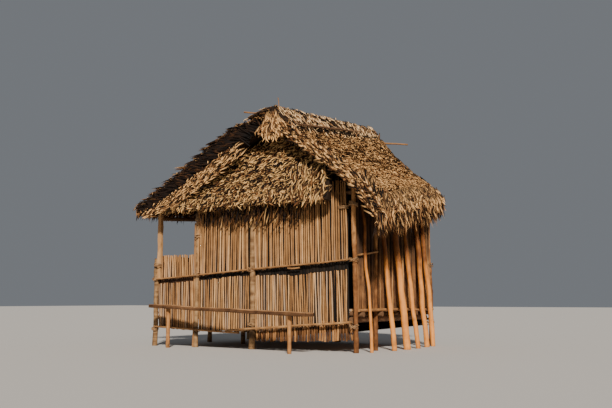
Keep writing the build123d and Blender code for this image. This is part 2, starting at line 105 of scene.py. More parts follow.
class Weave:
    """Gathers tubes and leaves into one mesh with a grain map, a tone a strand and a mark a point."""

    def __init__(self):
        self.points, self.faces, self.grain, self.tone, self.mark = [], [], [], [], []
        self.count = 0

    def add(self, points, faces, grain, tone, mark):
        points[:, 2] = np.maximum(points[:, 2], 0.0)
        self.points.append(points)
        self.faces.append(faces + self.count)
        self.grain.append(grain)
        self.tone.append(np.broadcast_to(tone, len(points)))
        self.mark.append(np.broadcast_to(mark, len(points)))
        self.count += len(points)

    def push(self, start, by):
        """Moves in y what was gathered from number start on."""
        for number in range(start, len(self.points)):
            self.points[number] = self.points[number] + np.array([0.0, by, 0.0])

    def build(self, name, finish, slot, *replaced):
        points = np.concatenate(self.points)
        faces = np.concatenate(self.faces)
        mesh = bpy.data.meshes.new(name)
        mesh.vertices.add(len(points))
        mesh.vertices.foreach_set("co", points.astype(np.float32).ravel())
        mesh.loops.add(faces.size)
        mesh.loops.foreach_set("vertex_index", faces.astype(np.int32).ravel())
        mesh.polygons.add(len(faces))
        mesh.polygons.foreach_set("loop_start", np.arange(0, faces.size, 3, dtype=np.int32))
        mesh.update(calc_edges=True)
        uv = mesh.uv_layers.new(name="grain")
        uv.data.foreach_set("uv", np.concatenate(self.grain).astype(np.float32).ravel())
        for label, values in (("tone", self.tone), ("mark", self.mark)):
            layer = mesh.attributes.new(label, "FLOAT", "POINT")
            layer.data.foreach_set("value", np.concatenate(values).astype(np.float32))
        mesh.polygons.foreach_set("use_smooth", np.ones(len(faces), bool))
        mesh.validate()
        mesh.set_sharp_from_angle(angle=math.radians(50))
        mesh.materials.append(finish)
        piece = linked(name, mesh)
        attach(piece, "root")
        if replaced:
            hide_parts(*replaced)


def skin(around, along, fan):
    """Faces and grain map of a closed tube: its sides, then a fan of faces on each end.

    around and along are distances on the grain map, around with one more than a ring has points. The middles
    of the two ends follow the rings' points."""
    sides, rings = len(around) - 1, len(along)
    ring, spoke = (grid.ravel() for grid in np.meshgrid(np.arange(rings - 1), np.arange(sides), indexing="ij"))
    a, b = ring * sides + spoke, ring * sides + (spoke + 1) % sides
    c, d = b + sides, a + sides
    k, last = np.arange(sides), (rings - 1) * sides
    after = (k + 1) % sides
    faces = [(a, b, c), (a, c, d), (after, k, np.full(sides, rings * sides)),
             (k + last, after + last, np.full(sides, rings * sides + 1))]
    u0, u1, v0, v1 = around[spoke], around[spoke + 1], along[ring], along[ring + 1]
    grain = [np.stack(corners, 1).reshape(-1, 2) for corners in ((u0, v0, u1, v0, u1, v1), (u0, v0, u1, v1, u0, v1))]
    return (np.concatenate([np.stack(corners, 1) for corners in faces]),
            np.concatenate([*grain, fan, fan]) + rng.uniform(0, GRAIN_RANGE, 2))


def by_ring(values, sides):
    """A value for each ring of a tube, given to its points and to the middles of the tube's ends."""
    return np.concatenate([np.repeat(values, sides), values[:1], values[-1:]])


def tube(weave, path, radii, sides, tone, mark=0.0, flat=1.0, roll=0.0, rough=0.0, girth=1.0):
    """A closed tube along a path. flat squeezes it, roll turns it, rough dents it and girth swells it by angle."""
    path = np.asarray(path, float)
    rings = len(path)
    radii = np.broadcast_to(np.asarray(radii, float), rings)
    run = unit(np.gradient(path, axis=0))
    side = unit(np.cross(ALONG_Y if abs(run[0][1]) < 0.8 else ALONG_X, run))
    up = np.cross(run, side)
    angle = np.arange(sides) * 2 * math.pi / sides + roll
    swell = np.ones((rings, sides)) * girth
    if rough:
        swell = swell + rng.normal(0, rough, (rings, sides))
    reach = radii[:, None] * swell
    body = (path[:, None, :] + (reach * np.cos(angle))[..., None] * side[:, None, :]
            + (reach * np.sin(angle) * flat)[..., None] * up[:, None, :]).reshape(-1, 3)
    rim = float(np.mean(radii))
    fan = np.stack([rim * np.cos(angle + 0.4), rim * np.sin(angle + 0.4), rim * np.cos(angle), rim * np.sin(angle),
                    0 * angle, 0 * angle], 1).reshape(-1, 2)
    faces, grain = skin(np.arange(sides + 1) * (2 * math.pi * rim / sides), distances(path), fan)
    weave.add(np.vstack([body, path[:1], path[-1:]]), faces, grain, tone, mark)


def leaf_pattern():
    """The faces of one leaf and their corners on the grain map: two rings of three points, then the tip."""
    faces, corners = [(2, 1, 0)], [[(2, 0), (1, 0), (0, 0)]]
    for spoke in range(3):
        a, b = spoke, (spoke + 1) % 3
        faces += [(a, b, b + 3), (a, b + 3, a + 3), (a + 3, b + 3, 6)]
        corners += [[(spoke, 0), (spoke + 1, 0), (spoke + 1, 1)], [(spoke, 0), (spoke + 1, 1), (spoke, 1)],
                    [(spoke, 1), (spoke + 1, 1), (spoke + 0.5, 2)]]
    return np.array(faces), np.array(corners, float).reshape(1, -1, 2)


LEAF_FACES, LEAF_CORNERS = leaf_pattern()
LEAF_POINTS = 7


def leaves(weave, tip, direction, normal, length, width, lift, droop, tone):
    """Many thatch leaves at once: folded strips that end in a point. All arguments have one row a leaf."""
    count = len(tip)
    direction = unit(direction)
    normal = unit(normal - (normal * direction).sum(1, keepdims=True) * direction)
    side = np.cross(direction, normal)
    ends = np.stack([tip[:, 1], tip[:, 1] - direction[:, 1] * length])
    tip = tip.copy()
    tip[:, 1] -= np.maximum(ends.max(0) - VERGE_ENDS[1], 0) - np.maximum(VERGE_ENDS[0] - ends.min(0), 0)
    base = tip - direction * length[:, None] - normal * lift[:, None]
    twist = rng.normal(0, 0.5, count)
    bow = rng.normal(0, 0.02, count) * length
    belly = rng.uniform(0.5, 0.78, count)
    points = np.empty((count, LEAF_POINTS, 3))
    for first, share, wide in ((0, np.zeros(count), 0.7), (3, belly, 1.0)):
        bend = share * (1 - share) * 4
        middle = (base + direction * (length * share)[:, None] + normal * (lift * share + droop * bend)[:, None]
                  + side * (bow * bend)[:, None])
        turn = twist * (share - 0.3)
        across = side * np.cos(turn)[:, None] + normal * np.sin(turn)[:, None]
        over = np.cross(across, direction)
        half = (width * wide / 2)[:, None]
        points[:, first] = middle - across * half - over * half * 0.25
        points[:, first + 1] = middle + over * half * 0.42
        points[:, first + 2] = middle + across * half - over * half * 0.25
    points[:, 6] = tip
    faces = (LEAF_FACES[None] + (np.arange(count) * LEAF_POINTS)[:, None, None]).reshape(-1, 3)
    scale = np.stack([width / 2, length / 2], 1)[:, None, :]
    grain = (LEAF_CORNERS * scale + rng.uniform(0, GRAIN_RANGE, (count, 1, 2))).reshape(-1, 2)
    marks = np.stack([np.zeros(count)] * 3 + [belly] * 3 + [np.ones(count)], 1).ravel()
    weave.add(points.reshape(-1, 3), faces, grain, np.repeat(tone, LEAF_POINTS), marks)


# Materials

def material(name, dark, middle, light, rough=0.8, streak=(220.0, 9.0), patch=7.0, grey=None, grey_share=0.0,
             bump=0.25, root_shade=0.0, bands=0.0, spread=0.5, mottle=0.5, ends=(0.12, 0.88)):
    """Fibre material: streaks along the grain map, a tone a strand, blotches in space, marks darkened.

    grey weathers it low down, bands ring it with light, and with root_shade a leaf is darkened at its root:
    painted shade under the leaves that lie over it."""
    made = bpy.data.materials.new(name)
    made.use_nodes = True
    tree = made.node_tree

    def add(kind, *inputs, **settings):
        """The outputs of a new node. inputs are pairs of a socket and its value, or the output that feeds it."""
        node = tree.nodes.new("ShaderNode" + kind)
        for label, value in settings.items():
            setattr(node, label, value)
        for socket, value in inputs:
            if isinstance(value, bpy.types.NodeSocket):
                tree.links.new(value, node.inputs[socket])
            else:
                node.inputs[socket].default_value = value
        return node.outputs

    def sum_of(kind, *values, clamp=False):
        return add("Math", *enumerate(values), operation=kind, use_clamp=clamp)[0]

    def noise(vector, scale, detail, roughness):
        return add("TexNoise", ("Vector", vector), ("Scale", scale), ("Detail", detail),
                   ("Roughness", roughness))["Fac"]

    def stretched(vector, *scale):
        return add("Mapping", ("Vector", vector), ("Scale", scale))["Vector"]

    def mix_colour(share, a, b, kind="MIX"):
        return add("Mix", (0, share), (6, a), (7, b), data_type="RGBA", blend_type=kind)[2]

    grain = add("UVMap", uv_map="grain")["UV"]
    tone = add("Attribute", attribute_name="tone")["Fac"]
    mark = add("Attribute", attribute_name="mark")["Fac"]
    place = add("TexCoord")["Object"]
    fibre = noise(stretched(grain, *streak, 1.0), 1.0, 4.0, 0.65)
    blotch = noise(place, patch, 3.0, 0.55)
    value = sum_of("ADD", sum_of("MULTIPLY_ADD", tone, spread, 0.5 - spread / 2),
                   sum_of("MULTIPLY_ADD", fibre, 0.9, -0.45))
    value = sum_of("ADD", value, sum_of("MULTIPLY_ADD", blotch, mottle, -mottle / 2), clamp=True)
    colour = add("ValToRGB", ("Fac", value))["Color"]
    stops = colour.node.color_ramp.elements
    for stop, tint, position in ((stops[0], dark, ends[0]), (stops[1], light, ends[1])):
        stop.color, stop.position = (*tint, 1), position
    stops.new(0.5).color = (*middle, 1)
    if grey:
        weather = noise(stretched(place, 30.0, 12.0, 0.9), 1.0, 2.0, 0.5)
        weather = sum_of("MULTIPLY", sum_of("SUBTRACT", weather, 0.5), 7.0, clamp=True)
        low_down = sum_of("MULTIPLY_ADD", add("SeparateXYZ", (0, place))["Z"], -2.2, 2.9, clamp=True)
        share = sum_of("MULTIPLY", sum_of("MULTIPLY", weather, low_down), grey_share, clamp=True)
        colour = mix_colour(share, colour, (*grey, 1))
    if bands:
        ring = noise(stretched(grain, 1.5, 22.0, 1.0), 1.0, 2.0, 0.5)
        ring = sum_of("MULTIPLY", sum_of("SUBTRACT", ring, 0.45), 8.0, clamp=True)
        colour = mix_colour(sum_of("MULTIPLY", ring, bands), colour, (*light, 1))
    if root_shade:
        shade = sum_of("MULTIPLY_ADD", mark, root_shade, 1.0 - root_shade)
        level = add("CombineColor", *((channel, shade) for channel in range(3)))[0]
        colour = mix_colour(1.0, colour, level, "MULTIPLY")
    else:
        colour = mix_colour(sum_of("MULTIPLY", mark, 0.85, clamp=True), colour, (*(c * 0.35 for c in dark), 1))
    relief = add("Bump", ("Strength", bump), ("Distance", 0.004), ("Height", fibre))["Normal"]
    inputs = tree.nodes["Principled BSDF"].inputs
    inputs["Roughness"].default_value = rough
    inputs["Specular IOR Level"].default_value = 0.25
    tree.links.new(colour, inputs["Base Color"])
    tree.links.new(relief, inputs["Normal"])
    return made


# Thatch leaves are darkened towards their roots with root_shade: painted shade under the leaves that cover them.
LEAFY = {"streak": (260.0, 12.0), "spread": 0.95}
THATCH = material("thatch_leaf", (0.012, 0.004, 0.001), (0.245, 0.096, 0.027), (1.0, 0.57, 0.23),
                  patch=2.6, root_shade=0.92, ends=(0.26, 0.74), **LEAFY)
SKIRT = material("skirt_leaf", (0.010, 0.003, 0.001), (0.29, 0.110, 0.028), (1.0, 0.60, 0.235),
                 patch=2.6, root_shade=0.94, ends=(0.27, 0.72), **LEAFY)
RIDGE = material("ridge_leaf", (0.014, 0.005, 0.001), (0.45, 0.200, 0.070), (1.0, 0.66, 0.34),
                 patch=4.0, root_shade=0.94, ends=(0.27, 0.7), **LEAFY)
# The cores are near black: painted shade in the depths of the thatch.
SHADED_CORE = material("thatch_core_shade", (0.005, 0.002, 0.001), (0.018, 0.008, 0.003), (0.05, 0.024, 0.010),
                streak=(120.0, 8.0), patch=30.0, bump=0.6)
STEM = material("wall_stem", (0.07, 0.025, 0.007), (0.45, 0.228, 0.087), (0.90, 0.58, 0.275), rough=0.65,
                streak=(420.0, 5.0), patch=9.0, mottle=0.3, grey=(0.33, 0.315, 0.285), grey_share=0.45, spread=0.32)
BROWN_STEM = material("brown_stem", (0.035, 0.012, 0.003), (0.27, 0.116, 0.038), (0.66, 0.34, 0.125), rough=0.65,
                      streak=(420.0, 5.0), patch=9.0, mottle=0.6, spread=0.6)
# Near black: painted shade that shows through the gaps in the walls.
SHADE_BLACK = material("shade_black_pole", (0.002, 0.001, 0.0006), (0.008, 0.0045, 0.0025), (0.022, 0.013, 0.007),
                  streak=(190.0, 4.0))
LOG = material("knotty_log", (0.04, 0.014, 0.004), (0.23, 0.088, 0.026), (0.50, 0.24, 0.085),
               streak=(150.0, 6.0), patch=12.0, mottle=0.9, bump=0.5, spread=0.55)
PROP = material("peeled_prop", (0.15, 0.046, 0.009), (0.60, 0.215, 0.040), (0.92, 0.37, 0.08), rough=0.6,
                streak=(160.0, 3.0), patch=8.0, mottle=0.7, bump=0.2, spread=0.7)
POST = material("palm_post", (0.06, 0.028, 0.009), (0.19, 0.098, 0.039), (0.42, 0.255, 0.12), rough=0.7,
                streak=(170.0, 14.0), patch=14.0, mottle=1.25, bands=0.42, bump=0.4, spread=0.25)
POLE = material("peeled_pole", (0.11, 0.044, 0.013), (0.33, 0.155, 0.056), (0.62, 0.36, 0.16), rough=0.65,
                streak=(190.0, 4.0), spread=0.4)
BATTEN = material("batten_pole", (0.11, 0.046, 0.015), (0.36, 0.178, 0.068), (0.64, 0.39, 0.18), rough=0.6,
                  streak=(240.0, 5.0), patch=11.0, mottle=0.8, spread=0.35)
ROOF_POLE = material("roof_pole", (0.05, 0.022, 0.009), (0.16, 0.08, 0.038), (0.30, 0.18, 0.095), rough=0.75,
                     streak=(190.0, 4.0), spread=0.4)
PLANK = material("bench_board", (0.05, 0.019, 0.006), (0.19, 0.089, 0.036), (0.62, 0.34, 0.16), rough=0.75,
                 streak=(110.0, 3.0), patch=9.0, mottle=0.7, bump=0.45, spread=0.7)
CORD = material("vine_tie", (0.10, 0.045, 0.016), (0.30, 0.17, 0.08), (0.55, 0.35, 0.19), streak=(900.0, 60.0))


# Reading the frame

def welded(node):
    """A CAD node's mesh with its doubled points joined."""
    work = bmesh.new()
    work.from_mesh(nodes[node].data)
    bmesh.ops.remove_doubles(work, verts=work.verts, dist=SEAM)
    return work


def solids_of(node):
    """The points of each separate solid of a CAD node."""
    work = welded(node)
    work.verts.ensure_lookup_table()
    seen, groups = set(), []
    for first in work.verts:
        if first.index in seen:
            continue
        group, queue = [], [first]
        seen.add(first.index)
        while queue:
            vertex = queue.pop()
            group.append(vertex)
            for edge in vertex.link_edges:
                other = edge.other_vert(vertex)
                if other.index not in seen:
                    seen.add(other.index)
                    queue.append(other)
        groups.append(np.array([v.co for v in group]))
    work.free()
    return groups


def pole_line(points):
    """The two ends and the radius of a straight pole's points."""
    centre = points.mean(0)
    _, _, axes = np.linalg.svd(points - centre, full_matrices=False)
    axis = axes[0] * (1 if axes[0][np.argmax(abs(axes[0]))] > 0 else -1)
    reach = (points - centre) @ axis
    off = points - centre - reach[:, None] * axis
    ends = np.array([centre + axis * reach.min(), centre + axis * reach.max()])
    return ends, float(np.median(np.linalg.norm(off, axis=1)))


def log_line(points):
    """Level sections of a standing log: their centres and radii, up to its highest point."""
    levels = np.round(points[:, 2], 3)
    centres, radii = [], []
    for level in np.unique(levels):
        ring = points[levels == level]
        if len(ring) >= 10:
            centres.append(ring.mean(0))
            radii.append(float(np.mean(np.linalg.norm(ring[:, :2] - ring[:, :2].mean(0), axis=1))))
    if len(centres) < 2:
        return pole_line(points)
    top = points[:, 2].max()
    if top > centres[-1][2] + 0.004:
        run = (centres[-1] - centres[-2]) / (centres[-1][2] - centres[-2][2])
        centres.append(centres[-1] + run * (top - centres[-1][2]))
        radii.append(radii[-1])
    return np.array(centres), np.array(radii)


def tree_of(node):
    mesh = nodes[node].data
    return BVHTree.FromPolygons([v.co for v in mesh.vertices], [tuple(p.vertices) for p in mesh.polygons])


# Poles and ties

def resample(path, radii, step):
    """Points of a path about a step apart, with their radii and distances."""
    marks = distances(path)
    places = np.linspace(0, marks[-1], max(3, int(round(marks[-1] / step)) + 1))
    return (np.stack([np.interp(places, marks, path[:, k]) for k in range(3)], 1),
            np.interp(places, marks, np.broadcast_to(radii, len(path))), places)


def smooth_noise(count, knots, size):
    """A gentle random line of count values with about that many turns."""
    return np.interp(np.linspace(0, knots, count), np.arange(knots + 1), rng.normal(0, size, knots + 1))


def rough_pole(weave, path, radii, sides=10, step=0.06, wander=0.004, dent=0.04, knots=0, tone=None, stain=None):
    """A natural pole: it wanders, its girth varies, and knots swell one side.

    tone may be a pair of heights and their tones, and stain is a band of heights darkened as a painted
    shadow."""
    line, size, places = resample(np.asarray(path, float), radii, step)
    count = len(line)
    turns = int(np.clip(count // 6, 2, 7))
    stands = abs(line[-1][2] - line[0][2]) > places[-1] * 0.8
    for k in range(3):
        sway = smooth_noise(count, turns, wander)
        sway -= np.interp(places, [places[0], places[-1]], [sway[0], sway[-1]])
        line[:, k] += sway * (0.2 if k == 2 and stands else 1)
    size = size * (1 + smooth_noise(count, turns, dent))
    angle = np.arange(sides) * 2 * math.pi / sides
    lobe = rng.uniform(0, 6.28)
    girth = np.ones((count, sides))
    girth += 0.04 * np.cos(2 * angle + lobe)[None] + rng.normal(0, dent * 0.35, (count, sides))
    mark = np.zeros((count, sides))
    for _ in range(knots):
        at, way = rng.uniform(0.05, 0.95) * places[-1], rng.uniform(0, 6.28)
        beside = np.angle(np.exp(1j * (angle - way)))
        near = np.exp(-((places - at) / 0.028) ** 2)[:, None] * np.exp(-(beside / 0.55) ** 2)
        girth += near * rng.uniform(0.14, 0.34)
        mark = np.maximum(mark, near * rng.uniform(0.3, 0.9))
    mark[0] = mark[-1] = END_MARK
    if stain:
        stained = (line[:, 2] > stain[0]) & (line[:, 2] < stain[1])
        mark[stained] = np.maximum(mark[stained], rng.uniform(0.7, 1.0, (stained.sum(), sides)))
    if tone is None:
        tone = rng.uniform(0.2, 0.8)
    elif isinstance(tone, tuple):
        tone = by_ring(np.interp(line[:, 2], *tone), sides)
    tube(weave, line, size, sides, tone, np.append(mark, [0, 0]), girth=girth)


def lashing(weave, centre, axis, radius, depth, turns, thick):
    """Turns of vine round a post and what is tied to it."""
    axis = unit(axis)
    across = unit(ALONG_X - axis * np.dot(ALONG_X, axis))
    out = np.cross(axis, across)
    for turn in range(turns):
        angle = np.linspace(0, 2 * math.pi, 21)
        tilt = rng.uniform(-0.5, 0.5)
        climb = np.sin(angle + rng.uniform(0, 6)) * tilt * radius + (turn - turns / 2) * thick * 1.7
        ring = (centre + np.outer(np.cos(angle) * radius, across) + np.outer(np.sin(angle) * depth, out)
                + np.outer(climb, axis))
        tube(weave, ring, thick * rng.uniform(0.8, 1.2), 5, rng.uniform(0.2, 0.9))


# Stem walls

def panel_ends(tree, low, high, axis, middle, place):
    """What a panel's foot and head are at a place, or beside it where the rays slip between two ribs."""
    for aside in (0.0, 0.005, -0.005, 0.01, -0.01, 0.015, -0.015):
        spot = [middle, middle]
        spot[axis] = place + aside
        foot = tree.ray_cast(Vector((*spot, low[2] - 1)), Vector(UP))[0]
        head = tree.ray_cast(Vector((*spot, high[2] + 1)), Vector(DOWN))[0]
        if foot is not None and head is not None and head.z - foot.z > 0.5 * (high[2] - low[2]):
            break
    return foot, head


def stems(weave, node, along, pitch, fill, cut=None, thickness=0.028, lean=0.006, tone_shift=0.0, slant=0.0,
          clear=0.0, shade_above=None):
    """Single stems in place of a corrugated panel, each as tall as the panel is there.

    fill is their radius in pitches. cut = (height function, "above" or "below") keeps only the run over or
    under a line. clear leaves that much of the panel's far end bare. Above the height shade_above the stems are
    darkened: painted shade."""
    low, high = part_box(node)
    tree = tree_of(node)
    axis = "xy".index(along)
    other = 1 - axis
    middle = (low[other] + high[other]) / 2
    place = low[axis] + pitch / 2
    while place < high[axis] - clear - pitch * 0.3:
        foot, head = panel_ends(tree, low, high, axis, middle, place)
        gap = pitch * rng.uniform(0.94, 1.07)
        bottom = top = 0.0
        if foot is not None and head is not None:
            bottom, top = foot.z + rng.uniform(-0.008, 0.012), head.z - rng.uniform(0, 0.01)
            if cut and cut[1] == "above":
                bottom = max(bottom, cut[0](place) - rng.uniform(0.0, 0.014))
            elif cut:
                top = min(top, cut[0](place) + rng.uniform(-0.008, 0.006))
        if top - bottom > 0.06:
            count = max(4, int((top - bottom) / 0.11) + 2)
            path = np.zeros((count, 3))
            path[:, axis] = (place + smooth_noise(count, 4, lean * 0.35) - np.linspace(-0.5, 0.5, count) * slant
                             + np.linspace(-1, 1, count) * np.clip(rng.normal(0, lean * 1.35), -STEM_SWAY, STEM_SWAY))
            path[:, other] = middle + smooth_noise(count, 3, 0.003) + rng.normal(0, 0.004)
            path[:, 2] = np.linspace(bottom, top, count)
            wide = pitch * rng.uniform(*fill)
            tone = np.clip(rng.uniform(0, 1) + tone_shift, 0, 1)
            mark = 0.0 if shade_above is None else by_ring(np.clip((path[:, 2] - shade_above) / 0.25, 0, 0.85), STEM_SIDES)
            tube(weave, path, wide * np.linspace(1.03, 0.94, count), STEM_SIDES, tone, mark,
                 flat=thickness / (2 * wide) * rng.uniform(0.85, 1.05), roll=rng.uniform(0, 0.9), rough=0.03)
        place += gap


# How far the lower stems of the front end below the middle batten, from left to right
FRONT_DIPS = (0.06, 0.065, 0.07, 0.07, 0.065, 0.065, 0.08, 0.09, 0.122, 0.11, 0.11, 0.105)


def mid_batten(x):
    """Height of the middle batten at x in the shared frame."""
    return BATTEN_LEFT + (BATTEN_RIGHT - BATTEN_LEFT) * (x - ORIGIN[0] - OUTER_X) / -OUTER_X


def gable_panel(weave, node, pitch, outward, shade, **more):
    """Upper stems that stand proud of the lower ones, which at the front end well under the middle batten."""
    dips = FRONT_DIPS if outward < 0 else rng.uniform(0.0, 0.02, len(FRONT_DIPS))

    def lower_heads(x):
        share = (x - ORIGIN[0] - OUTER_X) / -OUTER_X
        return mid_batten(x) - np.interp(share * (len(dips) - 1), np.arange(len(dips)), dips)

    stems(weave, node, "x", pitch, cut=(lambda x: mid_batten(x) - 0.008, "above"), tone_shift=shade, **more)
    weave.push(0, outward * 0.010)
    start = len(weave.points)
    stems(weave, node, "x", pitch, cut=(lower_heads, "below"), tone_shift=shade - 0.12, **more)
    weave.push(start, -outward * 0.018)


for side, outward in GABLES:
    front = side == "front"
    for panel, pitch, slant, clear, shade in (("wall_right_stems", 0.031, 0.016, 0.0, 0.0),
                                              ("wall_left_stems", 0.0345, 0.0, 0.03, -0.07),
                                              ("veranda_rail", 0.035, 0.01, 0.0, -0.22)):
        node = side + "_" + panel
        weave = Weave()
        gable_panel(weave, node, pitch if front else 0.033, outward, shade, slant=slant, clear=clear,
                    lean=0.005 if front else 0.003, fill=(0.25, 0.325) if front else (0.5, 0.56))
        weave.build(node + "_single", STEM, "stems", node)
# The right wall's stems are toned darker, the front ones most, and darkened above a height: painted shade for the
# eave's shadow.
for node, pitch, tone_shift, shade_above in (("right_wall_front_stems", 0.036, -0.5, 0.88),
                                      ("right_wall_back_stems", 0.042, -0.12, 0.98),
                                      ("inner_wall_front_stems", 0.034, -0.25, None),
                                      ("inner_wall_back_stems", 0.034, -0.25, None),
                                      ("inner_wall_over_door", 0.034, -0.25, None),
                                      ("side_veranda_rail", 0.028, -0.25, None)):
    weave = Weave()
    stems(weave, node, "y", pitch, (0.46, 0.56), tone_shift=tone_shift, shade_above=shade_above)
    weave.build(node + "_single", BROWN_STEM, "stems", node)
# Behind each gable wall a row of near-black stems, and behind each rail a row of dark brown stems darkened above 0.1
# m: painted shade that shows in the gaps between the stems in front.
for side, outward in GABLES:
    weave = Weave()
    for panel in ("_wall_left_stems", "_wall_right_stems"):
        stems(weave, side + panel, "x", INNER_PITCH, INNER_FILL, lean=0.001)
    weave.push(0, -outward * INNER_SHIFT)
    weave.build(side + "_wall_inner_row", SHADE_BLACK, "stems")
    weave = Weave()
    stems(weave, side + "_veranda_rail", "x", INNER_PITCH, INNER_FILL, (lambda x: 1.08, "below"), lean=0.001,
          tone_shift=-0.7, shade_above=0.1)
    weave.push(0, -outward * INNER_SHIFT)
    weave.build(side + "_rail_inner_row", BROWN_STEM, "stems")
# The skirting stems are toned darker: painted shade for the shadow they stand in below the wall.
weave = Weave()
stems(weave, "front_skirting_stems", "x", 0.034, (0.36, 0.43), thickness=0.022, lean=0.004, tone_shift=-0.25)
weave.build("front_skirting_single", BROWN_STEM, "stems", "front_skirting_stems")


# Poles, posts and logs

def dress(node, finish, slot, line_of=pole_line, slim=1.0, **more):
    """Natural poles in place of a node's solids. line_of reads a solid's line and radii from its points."""
    weave = Weave()
    for points in solids_of(node):
        path, radii = line_of(points)
        rough_pole(weave, path, radii * slim, **more)
    weave.build(node + "_natural", finish, slot, node)


# These logs are toned from dark at the foot to light at the top: painted light on the upper part, which the roof's
# verge shades.
for node in ("front_right_corner_post", "back_right_corner_post", "right_wall_post"):
    dress(node, LOG, "log_wood", log_line, 0.74, sides=20, step=0.014, wander=0.0045, dent=0.09, knots=26,
          tone=((0.1, 1.0, 1.45), (0.2, 0.5, 1.0)))
# The middle and inner veranda posts get a painted shadow near their feet, below the bench.
for node in ("front_middle_post", "back_middle_post", "front_inner_veranda_post", "back_inner_veranda_post",
             "front_outer_veranda_post", "outer_veranda_posts", "door_posts"):
    inner = "_inner_" in node
    dress(node, POST, "post_wood", log_line, sides=12, step=0.03, knots=4, tone=1.0 if inner else None,
          stain=(0.13, 0.27) if inner or "middle" in node else None)
dress("front_veranda_stick", POLE, "post_wood", sides=9, step=0.04, knots=3)
# The props are toned dark above about 1 m: painted shade for the eave's shadow on them.
dress("right_wall_props", PROP, "prop_wood", log_line, sides=12, step=0.035, wander=0.006, dent=0.05, knots=5,
      tone=((0.82, 1.15), (0.72, 0.0)))
dress("bench_posts", LOG, "bench_wood", log_line, step=0.03, wander=0.002, dent=0.05, knots=2, tone=0.9)
dress("floor_joists", ROOF_POLE, "floor_poles")
dress("floor_sills", ROOF_POLE, "floor_poles")
dress("right_edge_pole", POLE, "floor_poles", sides=9)
dress("right_wall_rail", BATTEN, "batten_wood", sides=7, step=0.04, dent=0.12)
for node in ("front_battens", "back_battens"):
    dress(node, BATTEN, "batten_wood", sides=8, step=0.05, wander=0.003, dent=0.1)
for node in ("rafters_left", "rafters_right", "tie_beams", "king_posts", "wall_plates", "ridge_pole"):
    dress(node, ROOF_POLE, "roof_poles", sides=9)
for node in ("purlins_left", "purlins_right"):
    dress(node, POLE, "roof_poles", sides=7, step=0.09)


# Thatch

class Face:
    """A face of a thatch slab, read as rows that climb from its lower edge.

    across is the axis from row to row, climb the axis a row follows, way its sign and ray the line of sight."""
    SPACING, STEP = 0.06, 0.02

    def __init__(self, node, across, climb, way, ray, samples):
        low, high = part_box(node)
        tree = tree_of(node)
        ray = Vector(ray)
        self.low, self.high = low[across] + 0.004, high[across] - 0.004
        count = max(4, int((self.high - self.low) / self.SPACING))
        self.places = np.linspace(self.low, self.high, count)
        first, last = (low[climb], high[climb]) if way > 0 else (high[climb], low[climb])
        seen = 3 - across - climb
        level_view = abs(ray.z) < 0.5
        rows = []
        for place in self.places:
            row = []
            for value in np.linspace(first + way * 0.003, last - way * 0.003, samples):
                start = Vector((0, 0, 0))
                start[across], start[climb] = place, value
                start[seen] = (high if ray[seen] < 0 else low)[seen] - ray[seen]
                spot, normal, _, _ = tree.ray_cast(start, ray)
                if spot is None or normal.dot(ray) > -(0.5 if level_view else 0.05):
                    continue
                if level_view or normal[climb] * way <= -0.015:
                    row.append((*spot, *normal))
            rows.append(np.array(row if len(row) > 2 else [(0, 0, 0, 0, 0, 1)] * 3, float))
        self.lengths = np.array([np.linalg.norm(np.diff(row[:, :3], axis=0), axis=1).sum() for row in rows])
        wanted = np.arange(int(self.lengths.max() / self.STEP) + 2) * self.STEP
        grid = np.array([np.stack([np.interp(wanted, distances(row[:, :3]), column) for column in row.T], 1)
                         for row in rows])
        self.points, self.normals = grid[..., :3], unit(grid[..., 3:])

    def length_at(self, place):
        return np.interp(place, self.places, self.lengths)

    def blend(self, grid, place, distance):
        row = np.clip(np.interp(place, self.places, np.arange(len(self.places))), 0, len(self.places) - 1.001)
        station = np.clip(distance / self.STEP, 0, grid.shape[1] - 1.001)
        r, s = row.astype(int), station.astype(int)
        fr, fs = (row - r)[:, None], (station - s)[:, None]
        return ((grid[r, s] * (1 - fs) + grid[r, s + 1] * fs) * (1 - fr)
                + (grid[r + 1, s] * (1 - fs) + grid[r + 1, s + 1] * fs) * fr)

    def at(self, place, distance):
        """Points, normals and downward directions at places across and distances up from the edge."""
        lower = self.blend(self.points, place, np.maximum(distance - 0.08, 0))
        upper = self.blend(self.points, place, np.maximum(distance, 0.08))
        return (self.blend(self.points, place, distance), unit(self.blend(self.normals, place, distance)),
                unit(lower - upper))


def turned(direction, normal, angle):
    """Directions turned in their faces by an angle a leaf."""
    side = np.cross(direction, normal)
    return direction * np.cos(angle)[:, None] + side * np.sin(angle)[:, None]


def leaf_sizes(count, length, width):
    return rng.uniform(*length, count), rng.uniform(*width, count)


def angles(yaw, place, distance, spread):
    """How far each leaf turns. yaw is a number or a function of place and distance."""
    return (yaw(place, distance) if callable(yaw) else yaw) + rng.normal(0, spread, len(place))


def thatch(weave, face, exposure, density, yaw, spread, length, width, raised, wild, last_gap=0.0,
           tones=(0.0, 1.0), sunk=(0.03, 0.06), past=0.05):
    """Lays courses of leaves over a face. A leaf's root lies at most past beyond the face's upper end."""
    for course in np.arange(0.0, face.lengths.max(), exposure):
        count = int(density * (face.high - face.low))
        place = rng.uniform(face.low, face.high, count)
        distance = np.maximum(course + rng.normal(0, exposure * 0.4, count), 0.0)
        fits = distance < face.length_at(place) - last_gap
        place, distance = place[fits], distance[fits]
        count = len(place)
        if not count:
            continue
        spot, normal, fall = face.at(place, distance)
        size, wide = leaf_sizes(count, length, width)
        size = np.minimum(size, np.maximum(face.length_at(place) - distance, 0.05) + past)
        angle = angles(yaw, place, distance, spread)
        astray = rng.random(count) < wild
        angle = np.where(astray, angle + rng.normal(0, 0.9, count), angle)
        size = np.where(astray, size * 0.6, size)
        rise = rng.uniform(*raised, count) + np.where(astray, 0.01, 0)
        leaves(weave, spot + normal * rise[:, None], turned(fall, normal, angle), normal, size, wide,
               rng.uniform(*sunk, count), rng.normal(0.006, 0.008, count), rng.uniform(*tones, count))


